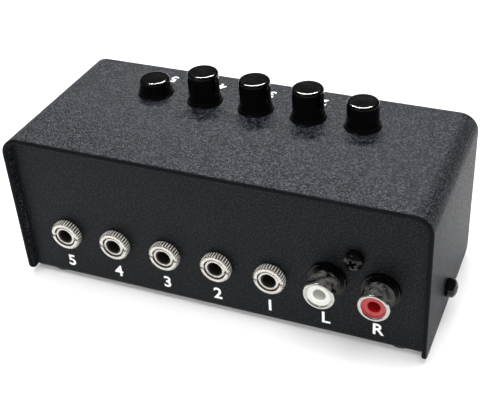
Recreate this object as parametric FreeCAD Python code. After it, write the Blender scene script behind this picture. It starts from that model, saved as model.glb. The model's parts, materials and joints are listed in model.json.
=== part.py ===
import FreeCAD, Part
import math
import os
from FreeCAD import Vector

# Audio selector box: one phono pair in, five 3.5 mm jacks out, five latching push buttons on the top.
# Millimetres, +Z up. The origin is the bottom centre of the whole object, on the surface it stands on.
# The connector panel faces -Y and the far panel +Y. Outlets run from left to right in the order 5 to 1.

# Box
box_width = 117.0
box_depth = 49.5
box_height = 44.5
sheet = 1.2
cover_bend_radius = 5.2
chassis_bend_radius = 1.6
cover_foot_corner = 2.0
panel_recess = 2.5
panel_foot_corner = 2.0
sheet_gap = 0.15
edge_round = 0.35
foot_height = 1.2
foot_radius = 4.0
foot_inset = 8.0

# Buttons
button_count = 5
button_pitch = 15.1
button_from_left = 28.9
button_from_far = 14.8
cap_rise = 9.0
cap_top_radius = 4.3
cap_foot_radius = 4.35
cap_length = 12.0
cap_wall = 0.9
cap_rim_round = 0.8
cap_dish = 0.15
cap_guide_clearance = 0.1
socket_depth = 7.0
socket_wall = 1.2
stem_grip = 4.8
button_travel = 4.25
button_overtravel = 0.45
buttons_down = (False, False, False, False, True)
caps_low = (True, False, False, False, False)
low_cap_drop = 1.5

# Button collars, pressed into the top
collar_foot_radius = 5.0
collar_lip_radius = 4.65
collar_height = 1.3
collar_flare_radius = 4.75
collar_flare_height = 0.36
collar_wall = 0.3
collar_hole_clearance = 0.05
collar_snap_height = 0.6
collar_snap_reach = 0.3

# Latching switches
housing_side = 8.5
housing_wall = 0.8
housing_corner_radius = 0.4
housing_height = 14.0
housing_cap_clearance = 0.6
plunger_block_height = 6.2
plunger_side_clearance = 0.2
plunger_stop_gap = 0.05
stem_side = 3.2
stem_clearance = 0.1
spring_wire = 0.36
spring_mean_radius = 1.6
spring_turns = 6
spring_arcs_per_turn = 4
spring_pocket_depth = 3.0
spring_pocket_radius = 2.0
spring_stud_radius = 1.2
spring_stud_height = 1.2
terminal_rows = 3
terminal_pitch = 2.2
terminal_width = 0.9
terminal_thickness = 0.3
terminal_below_top = 6.2
wiper_gap = 0.05
wiper_height = 2.4
wiper_below_top = 2.6
latch_wire = 0.5
latch_leg_gap = 0.05
latch_tip_gap = 0.2
latch_tip_length = 0.6
latch_groove_width = 2.6
latch_groove_depth = 0.9
heart_start = 1.6
heart_height = 3.3
heart_half_width = 0.4

# Jacks
jack_count = 5
jack_from_left = 14.5
jack_phono_gap = 15.55
jack_height = 15.1
jack_reach = 2.1
jack_bore_radius = 1.8
jack_mouth_radius = 2.2
jack_sleeve_radius = 2.95
jack_end_radius = 2.65
jack_sleeve_depth = 4.0
jack_body_width = 11.0
jack_body_depth = 12.0
jack_above_axis = 5.5
jack_axis_above_board = 6.0
jack_wall = 1.2
jack_chamber_half_width = 4.3
jack_chamber_half_height = 2.4
jack_pin_depth = 10.2
jack_ground_depth = 1.6
jack_tip_depth = 7.6
jack_ring_depth = 6.0
jack_spring_run = 1.8
jack_spring_lead = 1.4
jack_spring_lift = 0.9
jack_spring_thickness = 0.35
jack_spring_width = 2.6
jack_spring_gap = 0.05
nut_radius = 4.3
nut_thickness = 2.3
nut_rib_count = 34
nut_rib_depth = 0.22
nut_rib_share = 0.5
nut_flank_share = 0.13
nut_edge = 0.33
nut_slot_width = 1.2
nut_slot_depth = 0.7
nut_clearance = 0.05

# Phono sockets
phono_pitch = 14.0
phono_from_right = 12.55
phono_height = 18.65
phono_reach = 7.6
phono_shell_radius = 4.15
phono_rim_roll = 0.5
phono_rim_round = 0.4
phono_shell_wall = 0.5
phono_shell_root_radius = 3.85
phono_shell_root_gap = 0.3
phono_shell_depth = 6.0
phono_insert_setback = 0.45
phono_insert_depth = 8.0
phono_pin_bore_radius = 1.65
phono_dish_depth = 0.25
phono_dish_radius = 2.85
phono_boss_radius = 5.05
phono_boss_reach = 1.2
phono_step_radius = 4.5
phono_step_reach = 2.0
phono_body_depth = 11.0
phono_body_margin = 5.5
phono_lug_half_width = 4.5
phono_lug_margin = 3.2
phono_lug_wall = 1.0
phono_screw_rise = 8.2
phono_contact_wall = 0.35
phono_contact_depth = 9.0

# Boards and what holds them
board = 1.6
main_board_screw_gap = 2.1
main_board_gap = 0.4
main_board_margin = 3.9
main_stand_inset = 12.0
main_stand_jack_gap = 2.45
switch_board_half_width = 45.0
switch_board_half_depth = 8.0
switch_stand_x = 41.0
switch_stand_front = 2.0
switch_stand_back = 5.0
stand_side_count = 6
stand_across_flats = 5.0
stand_spigot_radius = 2.1
stand_thread_depth = 5.0
board_screw_length = 5.0
wire_count = 10
wire_pitch = 1.27
wire_radius = 0.5
wire_jack_gap = 1.9
wire_end_reach = 6.1
wire_bend_radius = 2.4

# Screws, all M3
screw_radius = 1.45
thread_radius = 1.5
screw_hole_radius = 1.7
screw_head_radius = 2.55
screw_head_height = 3.0
screw_rim_height = 2.0
screw_dome_radius = 1.73
screw_dome_height = 2.62
recess_half_span = 1.58
recess_half_arm = 0.33
recess_half_floor = 0.63
recess_depth = 1.32
side_screw_from_front = 20.8
side_screw_height = 8.3
side_screw_length = 5.0
tab_width = 12.0
tab_height = 14.0
tab_foot = 6.0
tab_boss_radius = 2.6
tab_boss_length = 1.2
tab_relief = 0.8
phono_screw_length = 9.0

# Solder pins
pin_side = 0.6
pin_below_board = 1.2
pin_clearance = 0.1

# How far cutters reach past what they cut, and how near two places are to count as one
overshoot = 1.0
near = 1e-6

# Places worked out from the sizes above
socket_proud = phono_reach - panel_recess
front_y = -(box_depth - socket_proud) / 2
far_y = front_y + box_depth
panel_y = front_y + panel_recess
panel_in_y = panel_y + sheet
far_panel_y = far_y - panel_recess
floor_z = foot_height
floor_top_z = floor_z + sheet
cover_top_z = floor_z + box_height
cover_under_z = cover_top_z - sheet
half_width = box_width / 2
chassis_half_width = half_width - sheet - sheet_gap
cover_inner_radius = cover_bend_radius - sheet
button_y = far_y - button_from_far
jack_z = floor_z + jack_height
phono_z = floor_z + phono_height
phono_screw_z = phono_z + phono_screw_rise
phono_x = [half_width - phono_from_right - phono_pitch, half_width - phono_from_right]
phono_mid_x = (phono_x[0] + phono_x[1]) / 2
first_jack_x = phono_x[0] - jack_phono_gap
jack_pitch = (first_jack_x + half_width - jack_from_left) / (jack_count - 1)
main_board_top_z = jack_z - jack_axis_above_board
main_board_z = main_board_top_z - board
main_board_y = panel_in_y + main_board_gap
main_board_half_width = half_width - side_screw_length - main_board_screw_gap
main_stand_y = panel_in_y + jack_body_depth + main_stand_jack_gap + screw_head_radius
main_board_far_y = main_stand_y + main_board_margin
side_screw_y = front_y + side_screw_from_front
side_screw_z = floor_z + side_screw_height
phono_insert_radius = phono_shell_radius - phono_shell_wall
phono_contact_radius = phono_pin_bore_radius + phono_contact_wall
collar_bore_radius = cap_foot_radius + cap_guide_clearance
collar_tube_radius = collar_bore_radius + collar_wall
collar_hole_radius = collar_tube_radius + collar_hole_clearance
full_travel = button_travel + button_overtravel
cap_foot_z = cover_top_z + cap_rise - cap_length
stem_top_z = cap_foot_z + stem_grip
housing_top_z = cap_foot_z - full_travel - low_cap_drop - housing_cap_clearance
switch_board_top_z = housing_top_z - housing_height
switch_board_z = switch_board_top_z - board
cavity_half = housing_side / 2 - housing_wall
block_half = cavity_half - plunger_side_clearance
block_top_z = housing_top_z - housing_wall - plunger_stop_gap
cavity_floor_z = switch_board_top_z + housing_wall
stand_corner_radius = stand_across_flats / 2 / math.cos(math.pi / stand_side_count)


def jack_x(number):
    """Outlet 1 is the rightmost, as one faces the connector panel."""
    return first_jack_x - (number - 1) * jack_pitch


def button_x(number):
    """Button 1 is the rightmost, too."""
    return button_from_left - half_width + (button_count - number) * button_pitch


def press_at_rest(number):
    """How far a button stands below its released place."""
    return button_travel if buttons_down[number - 1] else 0.0


def cap_drop(number):
    """How much further than the others a cap is pushed onto its stem."""
    return low_cap_drop if caps_low[number - 1] else 0.0


def block(x0, x1, y0, y1, z0, z1):
    return Part.makeBox(x1 - x0, y1 - y0, z1 - z0, Vector(x0, y0, z0))


def post(x, y, radius, z0, z1):
    return Part.makeCylinder(radius, z1 - z0, Vector(x, y, z0))


def rod_y(x, z, radius, y0, y1):
    return Part.makeCylinder(radius, y1 - y0, Vector(x, y0, z), Vector(0, 1, 0))


def rod_x(y, z, radius, x0, x1):
    return Part.makeCylinder(radius, x1 - x0, Vector(x0, y, z), Vector(1, 0, 0))


def turned(profile):
    """A solid of revolution about Z from (radius, height) corners."""
    corners = [Vector(radius, 0, height) for radius, height in profile]
    face = Part.Face(Part.makePolygon(corners + corners[:1]))
    return face.revolve(Vector(0, 0, 0), Vector(0, 0, 1), 360)


def facing(shape, x, y, z, direction):
    """Turn a shape made along +Z to point along direction, and move it to its place."""
    placed = shape.copy()
    placed.Placement = FreeCAD.Placement(
        Vector(x, y, z), FreeCAD.Rotation(Vector(0, 0, 1), direction)
    )
    return placed


def strip(points, thickness, z0, z1):
    """Bent sheet strip, standing on edge, whose middle line follows points in plan."""
    middle = [Vector(x, y, z0) for x, y in points]
    sides = [[], []]
    for i, point in enumerate(middle):
        before = point - middle[i - 1] if i else middle[1] - point
        after = middle[i + 1] - point if i < len(middle) - 1 else before
        before.normalize()
        after.normalize()
        across = Vector(-(before.y + after.y), before.x + after.x, 0)
        across.normalize()
        reach = thickness / 2 / (across.x * -before.y + across.y * before.x)
        sides[0].append(point + across * reach)
        sides[1].append(point - across * reach)
    outline = sides[0] + sides[1][::-1]
    return Part.Face(Part.makePolygon(outline + outline[:1])).extrude(Vector(0, 0, z1 - z0))


def rounded_plate(half, z0, z1, upper_radius, lower_radius, y0, y1):
    """Upright plate between y0 and y1 with rounded upper and lower corners."""
    plate = block(-half, half, y0, y1, z0, z1)
    for radius, level in ((upper_radius, z1), (lower_radius, z0)):
        if radius <= 0:
            continue
        corners = [
            edge for edge in plate.Edges
            if abs(edge.CenterOfMass.z - level) < near
            and abs(edge.CenterOfMass.y - (y0 + y1) / 2) < near
            and abs(abs(edge.CenterOfMass.x) - half) < near
        ]
        plate = plate.makeFillet(radius, corners)
    return plate


def edges_at_y(shape, levels):
    """The edges of a shape that lie wholly in one of the upright planes y = level."""
    found = []
    for edge in shape.Edges:
        bounds = edge.BoundBox
        for level in levels:
            if abs(bounds.YMin - level) < near and abs(bounds.YMax - level) < near:
                found.append(edge)
    return found


def side_outline():
    """Long bar with the outline of the box's sides, whose lower corners are rounded."""
    reach = half_width + overshoot
    bar = block(-reach, reach, front_y, far_y, floor_z, cover_top_z + overshoot)
    lower = [
        edge for edge in bar.Edges
        if abs(edge.CenterOfMass.z - floor_z) < near and abs(edge.CenterOfMass.x) < near
    ]
    return bar.makeFillet(cover_foot_corner, lower)


def make_cover():
    """Top and both sides folded from one sheet, with its raw edges rounded by the coating."""
    outer = rounded_plate(half_width, floor_z, cover_top_z, cover_bend_radius, 0, front_y, far_y)
    outer = outer.common(side_outline())
    inner = rounded_plate(
        half_width - sheet, floor_z - overshoot, cover_under_z, cover_inner_radius, 0,
        front_y - overshoot, far_y + overshoot,
    )
    cover = outer.cut(inner)
    cover = cover.makeFillet(edge_round, edges_at_y(cover, (front_y, far_y)))
    for number in range(1, button_count + 1):
        hole = post(
            button_x(number), button_y, collar_hole_radius,
            cover_under_z - overshoot, cover_top_z + overshoot,
        )
        cover = cover.cut(hole)
    reach = half_width + overshoot
    return cover.cut(rod_x(side_screw_y, side_screw_z, screw_hole_radius, -reach, reach))


def folded_section():
    """Connector panel, floor and far panel as one folded sheet, square cut at the ends."""
    top_z = cover_under_z - sheet_gap
    outer = block(
        -chassis_half_width, chassis_half_width, panel_y, far_panel_y, floor_z, top_z + overshoot
    )
    inner = block(
        -half_width, half_width, panel_in_y, far_panel_y - sheet,
        floor_top_z, top_z + 2 * overshoot,
    )
    lower = [
        edge for edge in outer.Edges
        if abs(edge.CenterOfMass.z - floor_z) < near and abs(edge.CenterOfMass.x) < near
    ]
    outer = outer.makeFillet(chassis_bend_radius, lower)
    inner_lower = [
        edge for edge in inner.Edges
        if abs(edge.CenterOfMass.z - floor_top_z) < near and abs(edge.CenterOfMass.x) < near
    ]
    inner = inner.makeFillet(chassis_bend_radius - sheet, inner_lower)
    return outer.cut(inner)


def side_tab():
    """Tab at the right edge of the floor, folded up inside the cover, with a drawn thread for the screw."""
    y0 = side_screw_y - tab_width / 2
    y1 = side_screw_y + tab_width / 2
    foot = block(chassis_half_width - tab_foot, chassis_half_width, y0, y1, floor_z, floor_top_z)
    wall = block(
        chassis_half_width - sheet, chassis_half_width, y0, y1, floor_z, floor_z + tab_height
    )
    tab = foot.fuse(wall).removeSplitter()
    bend = [
        edge for edge in tab.Edges
        if abs(edge.CenterOfMass.z - floor_z) < near
        and abs(edge.CenterOfMass.x - chassis_half_width) < near
    ]
    tab = tab.makeFillet(chassis_bend_radius, bend)
    inside_x = chassis_half_width - sheet
    tab = tab.fuse(
        rod_x(side_screw_y, side_screw_z, tab_boss_radius, inside_x - tab_boss_length, inside_x)
    )
    hole = rod_x(side_screw_y, side_screw_z, thread_radius, inside_x - tab_foot, half_width)
    return tab.cut(hole)


def make_chassis():
    outline = rounded_plate(
        chassis_half_width, floor_z, cover_under_z - sheet_gap,
        cover_inner_radius, panel_foot_corner, panel_y, far_panel_y,
    )
    chassis = folded_section().common(outline)
    right_tab = side_tab()
    notch = block(
        chassis_half_width - tab_foot, half_width,
        side_screw_y - tab_width / 2 - tab_relief, side_screw_y + tab_width / 2 + tab_relief,
        floor_z - overshoot, floor_top_z + overshoot,
    )
    for tab, gap in (
        (right_tab, notch),
        (right_tab.mirror(Vector(0, 0, 0), Vector(1, 0, 0)),
         notch.mirror(Vector(0, 0, 0), Vector(1, 0, 0))),
    ):
        chassis = chassis.cut(gap).fuse(tab)
    through = (panel_y - overshoot, panel_in_y + overshoot)
    for number in range(1, jack_count + 1):
        chassis = chassis.cut(rod_y(jack_x(number), jack_z, jack_sleeve_radius + nut_clearance, *through))
    for x in phono_x:
        chassis = chassis.cut(rod_y(x, phono_z, phono_boss_radius + nut_clearance, *through))
    chassis = chassis.cut(rod_y(phono_mid_x, phono_screw_z, screw_hole_radius, *through))
    for x, y in main_stand_places() + switch_stand_places():
        chassis = chassis.cut(
            post(x, y, stand_spigot_radius, floor_z - overshoot, floor_top_z + overshoot)
        )
    return chassis.removeSplitter()


def cross_recess():
    """Cutter for a cross recess in the top of a screw head, whose mouth is at z = 0."""
    span = recess_half_span
    outline = [
        Vector(-span, -recess_half_arm, overshoot), Vector(span, -recess_half_arm, overshoot),
        Vector(span, -recess_half_arm, 0), Vector(recess_half_floor, -recess_half_arm, -recess_depth),
        Vector(-recess_half_floor, -recess_half_arm, -recess_depth), Vector(-span, -recess_half_arm, 0),
    ]
    slot = Part.Face(Part.makePolygon(outline + outline[:1])).extrude(Vector(0, 2 * recess_half_arm, 0))
    crossed = slot.copy()
    crossed.rotate(Vector(0, 0, 0), Vector(0, 0, 1), 90)
    return slot.fuse(crossed)


def pan_screw(length):
    """Domed pan head screw along +Z: the head stands above z = 0 and the shank goes down from it."""
    shoulder = Vector(screw_head_radius, 0, screw_rim_height)
    crown = Vector(0, 0, screw_head_height)
    dome = Part.Arc(shoulder, Vector(screw_dome_radius, 0, screw_dome_height), crown)
    outline = Part.Wire([
        Part.makeLine(Vector(0, 0, 0), Vector(screw_head_radius, 0, 0)),
        Part.makeLine(Vector(screw_head_radius, 0, 0), shoulder),
        dome.toShape(),
        Part.makeLine(crown, Vector(0, 0, 0)),
    ])
    head = Part.Face(outline).revolve(Vector(0, 0, 0), Vector(0, 0, 1), 360)
    recess = cross_recess()
    recess.translate(crown)
    return head.cut(recess).fuse(post(0, 0, screw_radius, -length, 0)).removeSplitter()


def make_cover_screws():
    screw = pan_screw(side_screw_length)
    right = facing(screw, half_width, side_screw_y, side_screw_z, Vector(1, 0, 0))
    left = facing(screw, -half_width, side_screw_y, side_screw_z, Vector(-1, 0, 0))
    return Part.makeCompound([right, left])


def make_feet():
    x = half_width - foot_inset
    feet = []
    for side in (-x, x):
        for y in (front_y + foot_inset, far_y - foot_inset):
            feet.append(post(side, y, foot_radius, 0, foot_height))
    return Part.makeCompound(feet)


def make_collar(x):
    """Fixed ring round a button, with a hollow flare above the top and a snap edge under it."""
    foot = Vector(collar_foot_radius, 0, 0)
    flare = Vector(collar_flare_radius, 0, collar_flare_height)
    lip = Vector(collar_lip_radius, 0, collar_height)
    under = cover_under_z - cover_top_z - collar_hole_clearance
    corners = [
        Vector(collar_tube_radius, 0, 0),
        Vector(collar_tube_radius, 0, under),
        Vector(collar_tube_radius + collar_snap_reach, 0, under),
        Vector(collar_tube_radius, 0, under - collar_snap_height),
        Vector(collar_bore_radius, 0, under - collar_snap_height),
        Vector(collar_bore_radius, 0, collar_height),
    ]
    edges = [Part.Arc(foot, flare, lip).toShape(), Part.makeLine(corners[-1], lip)]
    edges.append(Part.makeLine(foot, corners[0]))
    for start, end in zip(corners, corners[1:]):
        edges.append(Part.makeLine(start, end))
    outline = Part.Wire(Part.__sortEdges__(edges))
    ring = Part.Face(outline).revolve(Vector(0, 0, 0), Vector(0, 0, 1), 360)
    ring.translate(Vector(x, button_y, cover_top_z))
    return ring


def make_collars():
    return Part.makeCompound([make_collar(button_x(n)) for n in range(1, button_count + 1)])


def make_cap(number):
    """Hollow round cap with a slight draft, a rounded rim, a dished top and a square socket."""
    shell = turned([(0, 0), (cap_foot_radius, 0), (cap_top_radius, cap_length), (0, cap_length)])
    rim = [edge for edge in shell.Edges if abs(edge.BoundBox.ZMin - cap_length) < near]
    shell = shell.makeFillet(cap_rim_round, rim)
    dish_radius = cap_top_radius - cap_rim_round
    ball_radius = (dish_radius ** 2 + cap_dish ** 2) / (2 * cap_dish)
    shell = shell.cut(Part.makeSphere(ball_radius, Vector(0, 0, cap_length - cap_dish + ball_radius)))
    inside = turned([
        (0, -overshoot), (cap_foot_radius - cap_wall, -overshoot),
        (cap_top_radius - cap_wall, cap_length - cap_wall), (0, cap_length - cap_wall),
    ])
    inside = inside.cut(post(0, 0, stem_side / math.sqrt(2) + socket_wall, 0, cap_length))
    half = stem_side / 2
    socket = block(-half, half, -half, half, -overshoot, socket_depth)
    cap = shell.cut(inside).cut(socket)
    cap.translate(Vector(
        button_x(number), button_y, cap_foot_z - cap_drop(number) - press_at_rest(number)
    ))
    return cap


def make_plunger(number):
    """Square stem on a guided block, with the latch groove in its front and the spring's pocket below."""
    half = stem_side / 2
    bottom_z = block_top_z - plunger_block_height
    body = block(-block_half, block_half, -block_half, block_half, bottom_z, block_top_z)
    stem = block(-half, half, -half, half, block_top_z, stem_top_z)
    pocket = post(0, 0, spring_pocket_radius, bottom_z - overshoot, bottom_z + spring_pocket_depth)
    groove_floor = -block_half + latch_groove_depth
    groove = block(
        -latch_groove_width / 2, latch_groove_width / 2,
        -block_half - overshoot, groove_floor, bottom_z - overshoot, block_top_z + overshoot,
    )
    low = bottom_z + heart_start
    top = bottom_z + heart_start + heart_height
    outline = [
        Vector(0, groove_floor, low), Vector(heart_half_width, groove_floor, low + heart_height / 2),
        Vector(heart_half_width, groove_floor, top), Vector(0, groove_floor, top - heart_half_width),
        Vector(-heart_half_width, groove_floor, top),
        Vector(-heart_half_width, groove_floor, low + heart_height / 2),
    ]
    heart = Part.Face(Part.makePolygon(outline + outline[:1]))
    heart = heart.extrude(Vector(0, -latch_groove_depth, 0))
    plunger = body.fuse(stem).removeSplitter().cut(pocket).cut(groove).fuse(heart)
    plunger.translate(Vector(button_x(number), button_y, -press_at_rest(number)))
    return plunger


def make_wipers(number):
    """Bronze clips on both flanks of a plunger; each bridges two of the three terminals beside it."""
    x = button_x(number)
    z1 = block_top_z - wiper_below_top - press_at_rest(number)
    thickness = plunger_side_clearance - wiper_gap
    clips = []
    for inner in (block_half, -block_half - thickness):
        clips.append(block(
            x + inner, x + inner + thickness,
            button_y - terminal_pitch - terminal_width / 2, button_y + terminal_width / 2,
            z1 - wiper_height, z1,
        ))
    return Part.makeCompound(clips)


def terminal_blocks(number, clearance):
    """The six terminals of one switch: upright strips let into its side walls, down through the board."""
    x = button_x(number)
    half = terminal_width / 2 + clearance
    blocks = []
    for inner in (cavity_half, -cavity_half - terminal_thickness):
        for row in range(terminal_rows):
            y = button_y + (row - (terminal_rows - 1) / 2) * terminal_pitch
            blocks.append(block(
                x + inner - clearance, x + inner + terminal_thickness + clearance, y - half, y + half,
                switch_board_z - pin_below_board, housing_top_z - terminal_below_top,
            ))
    return blocks


def make_terminals():
    terminals = []
    for number in range(1, button_count + 1):
        terminals += terminal_blocks(number, 0)
    return Part.makeCompound(terminals)


def make_housing(number):
    """Closed square case with a hole for the stem, slots for the terminals and a stud for the spring."""
    x = button_x(number)
    half = housing_side / 2
    case = block(x - half, x + half, button_y - half, button_y + half, switch_board_top_z, housing_top_z)
    upright = [
        edge for edge in case.Edges
        if abs(edge.BoundBox.ZLength - housing_height) < near
    ]
    case = case.makeFillet(housing_corner_radius, upright)
    cavity = block(
        x - cavity_half, x + cavity_half, button_y - cavity_half, button_y + cavity_half,
        cavity_floor_z, housing_top_z - housing_wall,
    )
    gate = stem_side / 2 + stem_clearance
    hole = block(
        x - gate, x + gate, button_y - gate, button_y + gate,
        housing_top_z - housing_wall - overshoot, housing_top_z + overshoot,
    )
    case = case.cut(cavity).cut(hole)
    for terminal in terminal_blocks(number, 0):
        case = case.cut(terminal)
    stud = post(x, button_y, spring_stud_radius, cavity_floor_z, cavity_floor_z + spring_stud_height)
    return case.fuse(stud).removeSplitter()


def make_return_spring(number):
    """Coil from the housing's floor to the bottom of the plunger's pocket, shorter where latched."""
    pocket_top_z = block_top_z - plunger_block_height + spring_pocket_depth - press_at_rest(number)
    length = pocket_top_z - cavity_floor_z - spring_wire
    steps = 2 * spring_turns * spring_arcs_per_turn
    points = []
    for i in range(steps + 1):
        angle = math.pi * i / spring_arcs_per_turn
        points.append(Vector(
            spring_mean_radius * math.cos(angle), spring_mean_radius * math.sin(angle), length * i / steps
        ))
    turns = [
        Part.Arc(points[i], points[i + 1], points[i + 2]).toShape()
        for i in range(0, steps, 2)
    ]
    start = Part.Wire([Part.makeCircle(spring_wire / 2, points[0], Vector(0, 1, 0))])
    spring = Part.Wire(turns).makePipeShell([start], True, False)
    spring.translate(Vector(button_x(number), button_y, cavity_floor_z + spring_wire / 2))
    return spring


def make_latch_wires():
    """Spring wire in front of each plunger, whose tip rides beside the heart in the latch groove."""
    wires = []
    tip_z = block_top_z - plunger_block_height + heart_start - latch_wire
    back_y = button_y - cavity_half + latch_leg_gap + latch_wire / 2
    for number in range(1, button_count + 1):
        x = button_x(number) + heart_half_width + latch_tip_gap + latch_wire / 2
        leg = post(x, back_y, latch_wire / 2, cavity_floor_z, tip_z)
        knee = Part.makeSphere(latch_wire / 2, Vector(x, back_y, tip_z))
        tip = rod_y(x, tip_z, latch_wire / 2, back_y, back_y + latch_tip_length)
        wires.append(leg.fuse([knee, tip]).removeSplitter())
    return Part.makeCompound(wires)


def pin(x, y, top_z, board_under_z):
    half = pin_side / 2
    return block(x - half, x + half, y - half, y + half, board_under_z - pin_below_board, top_z)


def pin_hole(x, y, z0, z1):
    half = pin_side / 2 + pin_clearance
    return block(x - half, x + half, y - half, y + half, z0, z1)


def jack_spring_lines(number):
    """Plan outlines of the tip spring and the ring spring: foot, bend, contact point and lead-in."""
    x = jack_x(number)
    touch = jack_bore_radius + jack_spring_gap + jack_spring_thickness / 2
    side = jack_chamber_half_width - jack_spring_thickness
    lines = []
    for hand, contact_depth in ((1, jack_tip_depth), (-1, jack_ring_depth)):
        foot_y = panel_in_y + jack_pin_depth
        bend_y = panel_in_y + contact_depth + jack_spring_run
        contact_y = panel_in_y + contact_depth
        lead_y = contact_y - jack_spring_lead
        lines.append([
            (x + hand * side, foot_y), (x + hand * side, bend_y),
            (x + hand * touch, contact_y), (x + hand * (touch + jack_spring_lift), lead_y),
        ])
    return lines


def jack_pins(number):
    """Plan places of the sleeve's, the tip spring's and the ring spring's solder pins."""
    feet = [line[0] for line in jack_spring_lines(number)]
    return [(jack_x(number), panel_in_y + jack_ground_depth)] + feet


def make_jack_body(number):
    x = jack_x(number)
    half = jack_body_width / 2
    body = block(
        x - half, x + half, panel_in_y, panel_in_y + jack_body_depth,
        main_board_top_z, jack_z + jack_above_axis,
    )
    body = body.cut(rod_y(x, jack_z, jack_sleeve_radius, panel_in_y - overshoot,
                          panel_in_y + jack_sleeve_depth))
    chamber = block(
        x - jack_chamber_half_width, x + jack_chamber_half_width,
        panel_in_y + jack_sleeve_depth, panel_in_y + jack_body_depth - jack_wall,
        jack_z - jack_chamber_half_height, jack_z + jack_chamber_half_height,
    )
    body = body.cut(chamber)
    for pin_x, pin_y in jack_pins(number):
        body = body.cut(pin_hole(pin_x, pin_y, main_board_top_z - overshoot, jack_z))
    return body


def make_jack_sleeve(number):
    """Threaded sleeve with a chamfered end and a countersunk mouth, and its solder pin."""
    reach = jack_reach + sheet
    back = -(reach + jack_sleeve_depth)
    chamfer = jack_sleeve_radius - jack_end_radius
    mouth = jack_mouth_radius - jack_bore_radius
    sleeve = turned([
        (jack_bore_radius, back), (jack_sleeve_radius, back), (jack_sleeve_radius, -chamfer),
        (jack_end_radius, 0), (jack_mouth_radius, 0), (jack_bore_radius, -mouth),
    ])
    sleeve = facing(sleeve, jack_x(number), panel_y - jack_reach, jack_z, Vector(0, -1, 0))
    pin_x, pin_y = jack_pins(number)[0]
    wall_middle = (jack_sleeve_radius + jack_bore_radius) / 2
    return sleeve.fuse(pin(pin_x, pin_y, jack_z - wall_middle, main_board_z))


def make_jack_contacts(number):
    """Tip spring and ring spring, each with its solder pin."""
    contacts = []
    half = jack_spring_width / 2
    for line in jack_spring_lines(number):
        spring = strip(line, jack_spring_thickness, jack_z - half, jack_z + half)
        contacts.append(spring.fuse(pin(*line[0], jack_z, main_board_z)).removeSplitter())
    return Part.makeCompound(contacts)


def make_jack_nut(x):
    """Round nut with straight ribs round its edge and two spanner slots across its face."""
    top = nut_rib_share / 2
    foot = top + nut_flank_share
    root_radius = nut_radius - nut_rib_depth
    ribs = []
    for i in range(nut_rib_count):
        for radius, share in (
            (root_radius, -foot), (nut_radius, -top), (nut_radius, top), (root_radius, foot),
        ):
            angle = 2 * math.pi * (i + share) / nut_rib_count
            ribs.append(Vector(radius * math.cos(angle), radius * math.sin(angle), 0))
    nut = Part.Face(Part.makePolygon(ribs + ribs[:1])).extrude(Vector(0, 0, nut_thickness))
    nut = nut.common(turned([
        (0, 0), (nut_radius - nut_edge, 0), (nut_radius, nut_edge),
        (nut_radius, nut_thickness - nut_edge), (nut_radius - nut_edge, nut_thickness),
        (0, nut_thickness),
    ]))
    slot = block(-nut_radius, nut_radius, -nut_slot_width / 2, nut_slot_width / 2,
                 nut_thickness - nut_slot_depth, nut_thickness + overshoot)
    bore = post(0, 0, jack_sleeve_radius + nut_clearance, -overshoot, nut_thickness + overshoot)
    return facing(nut.cut(slot).cut(bore), x, panel_y, jack_z, Vector(0, -1, 0))


def make_jack_nuts():
    return Part.makeCompound([make_jack_nut(jack_x(n)) for n in range(1, jack_count + 1)])


def phono_pins():
    """Plan places of the two shells' ground pins and the two centre contacts' tails."""
    ground_y = panel_in_y + phono_shell_depth - pin_side
    tail_y = panel_in_y + phono_contact_depth - pin_side / 2
    return [(x, y) for x in phono_x for y in (ground_y, tail_y)]


def make_phono_body():
    """Black moulding on the board, with two stepped bosses through the panel and a lug for the screw."""
    body = block(
        phono_x[0] - phono_body_margin, phono_x[1] + phono_body_margin,
        panel_in_y, panel_in_y + phono_body_depth, main_board_top_z, phono_z + phono_body_margin,
    )
    lug = block(
        phono_mid_x - phono_lug_half_width, phono_mid_x + phono_lug_half_width,
        panel_in_y, panel_in_y + phono_screw_length, phono_z, phono_screw_z + phono_lug_margin,
    )
    body = body.fuse(lug).removeSplitter()
    behind = panel_in_y + phono_shell_depth
    for x in phono_x:
        body = body.fuse(rod_y(x, phono_z, phono_boss_radius, panel_y - phono_boss_reach, panel_in_y))
        body = body.fuse(rod_y(x, phono_z, phono_step_radius, panel_y - phono_step_reach, panel_in_y))
    for x in phono_x:
        body = body.cut(rod_y(x, phono_z, phono_shell_root_radius, panel_y - phono_reach, behind))
        body = body.cut(rod_y(x, phono_z, phono_insert_radius, behind, panel_in_y + phono_insert_depth))
        body = body.cut(rod_y(x, phono_z, phono_contact_radius, behind, panel_in_y + phono_contact_depth))
    for pin_x, pin_y in phono_pins():
        body = body.cut(pin_hole(pin_x, pin_y, main_board_top_z - overshoot, phono_z))
    thread = rod_y(phono_mid_x, phono_screw_z, thread_radius, panel_in_y - overshoot,
                   panel_in_y + phono_screw_length - phono_lug_wall)
    return body.cut(thread).removeSplitter()


def make_phono_shell(side):
    """Plated tube, slimmer inside the moulding, with a rolled rim in front and a ground pin behind."""
    inner = phono_insert_radius
    root = phono_shell_root_radius
    shoulder = phono_step_reach + phono_shell_root_gap - phono_reach
    back = -(phono_reach + sheet + phono_shell_depth)
    tube = turned([
        (inner, back), (root, back), (root, shoulder), (phono_shell_radius, shoulder),
        (phono_shell_radius, 0), (inner - phono_rim_roll, 0),
        (inner - phono_rim_roll, -phono_insert_setback), (inner, -phono_insert_setback),
    ])
    rim = [edge for edge in tube.Edges if abs(edge.BoundBox.ZMin) < near]
    tube = tube.makeFillet(phono_rim_round, rim)
    shell = facing(tube, phono_x[side], panel_y - phono_reach, phono_z, Vector(0, -1, 0))
    pin_x, pin_y = phono_pins()[2 * side]
    wall_middle = (inner + root) / 2
    return shell.fuse(pin(pin_x, pin_y, phono_z - wall_middle, main_board_z))


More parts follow.
